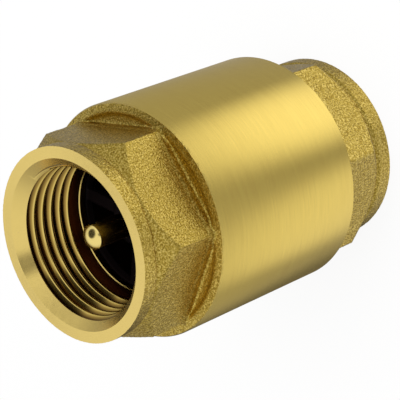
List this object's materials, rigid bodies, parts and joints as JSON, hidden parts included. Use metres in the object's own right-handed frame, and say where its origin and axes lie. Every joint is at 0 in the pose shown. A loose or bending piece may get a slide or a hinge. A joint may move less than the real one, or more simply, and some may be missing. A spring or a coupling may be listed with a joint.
{
  "type": "brass in-line spring check valve",
  "caption": "Brass in-line check valve: sprung poppet on a guided stem between two hexagonal female-threaded pipe ends, lifting for upward flow.",
  "frame": {"origin": "centre of the inlet end face, on the flow axis, where the valve stands", "axes": "+Z along the flow axis from inlet to outlet; +X through a corner of the outlet hexagon"},
  "size_m": [0.0486, 0.0486, 0.0738],
  "materials": {
    "brass_body": "grainy as-forged hexagon and collar, fine-turned barrel and end face",
    "brass_cap": "grainy as forged, machined bore and end face",
    "bright_brass": "bright turned",
    "black_acetal": "satin moulded",
    "nitrile_rubber": "matt",
    "spring_steel": "drawn stainless wire"
  },
  "bodies": {
    "housing": {"valve_body": "brass_body", "inlet_cap": "brass_cap", "cap_o_ring": "nitrile_rubber", "stem_guide": "black_acetal", "spring": "spring_steel"},
    "poppet": {"stem": "bright_brass", "poppet_disc": "black_acetal", "seat_seal": "nitrile_rubber", "seal_retainer": "bright_brass", "stem_nut": "bright_brass"}
  },
  "joints": [
    {"name": "poppet_lift", "type": "slide", "parent": "housing", "child": "poppet", "axis": [0, 0, 1], "range_m": [0, 0.006], "stiffness_N_per_m": 250, "springref_m": -0.007, "deforming": ["spring"]}
  ]
}
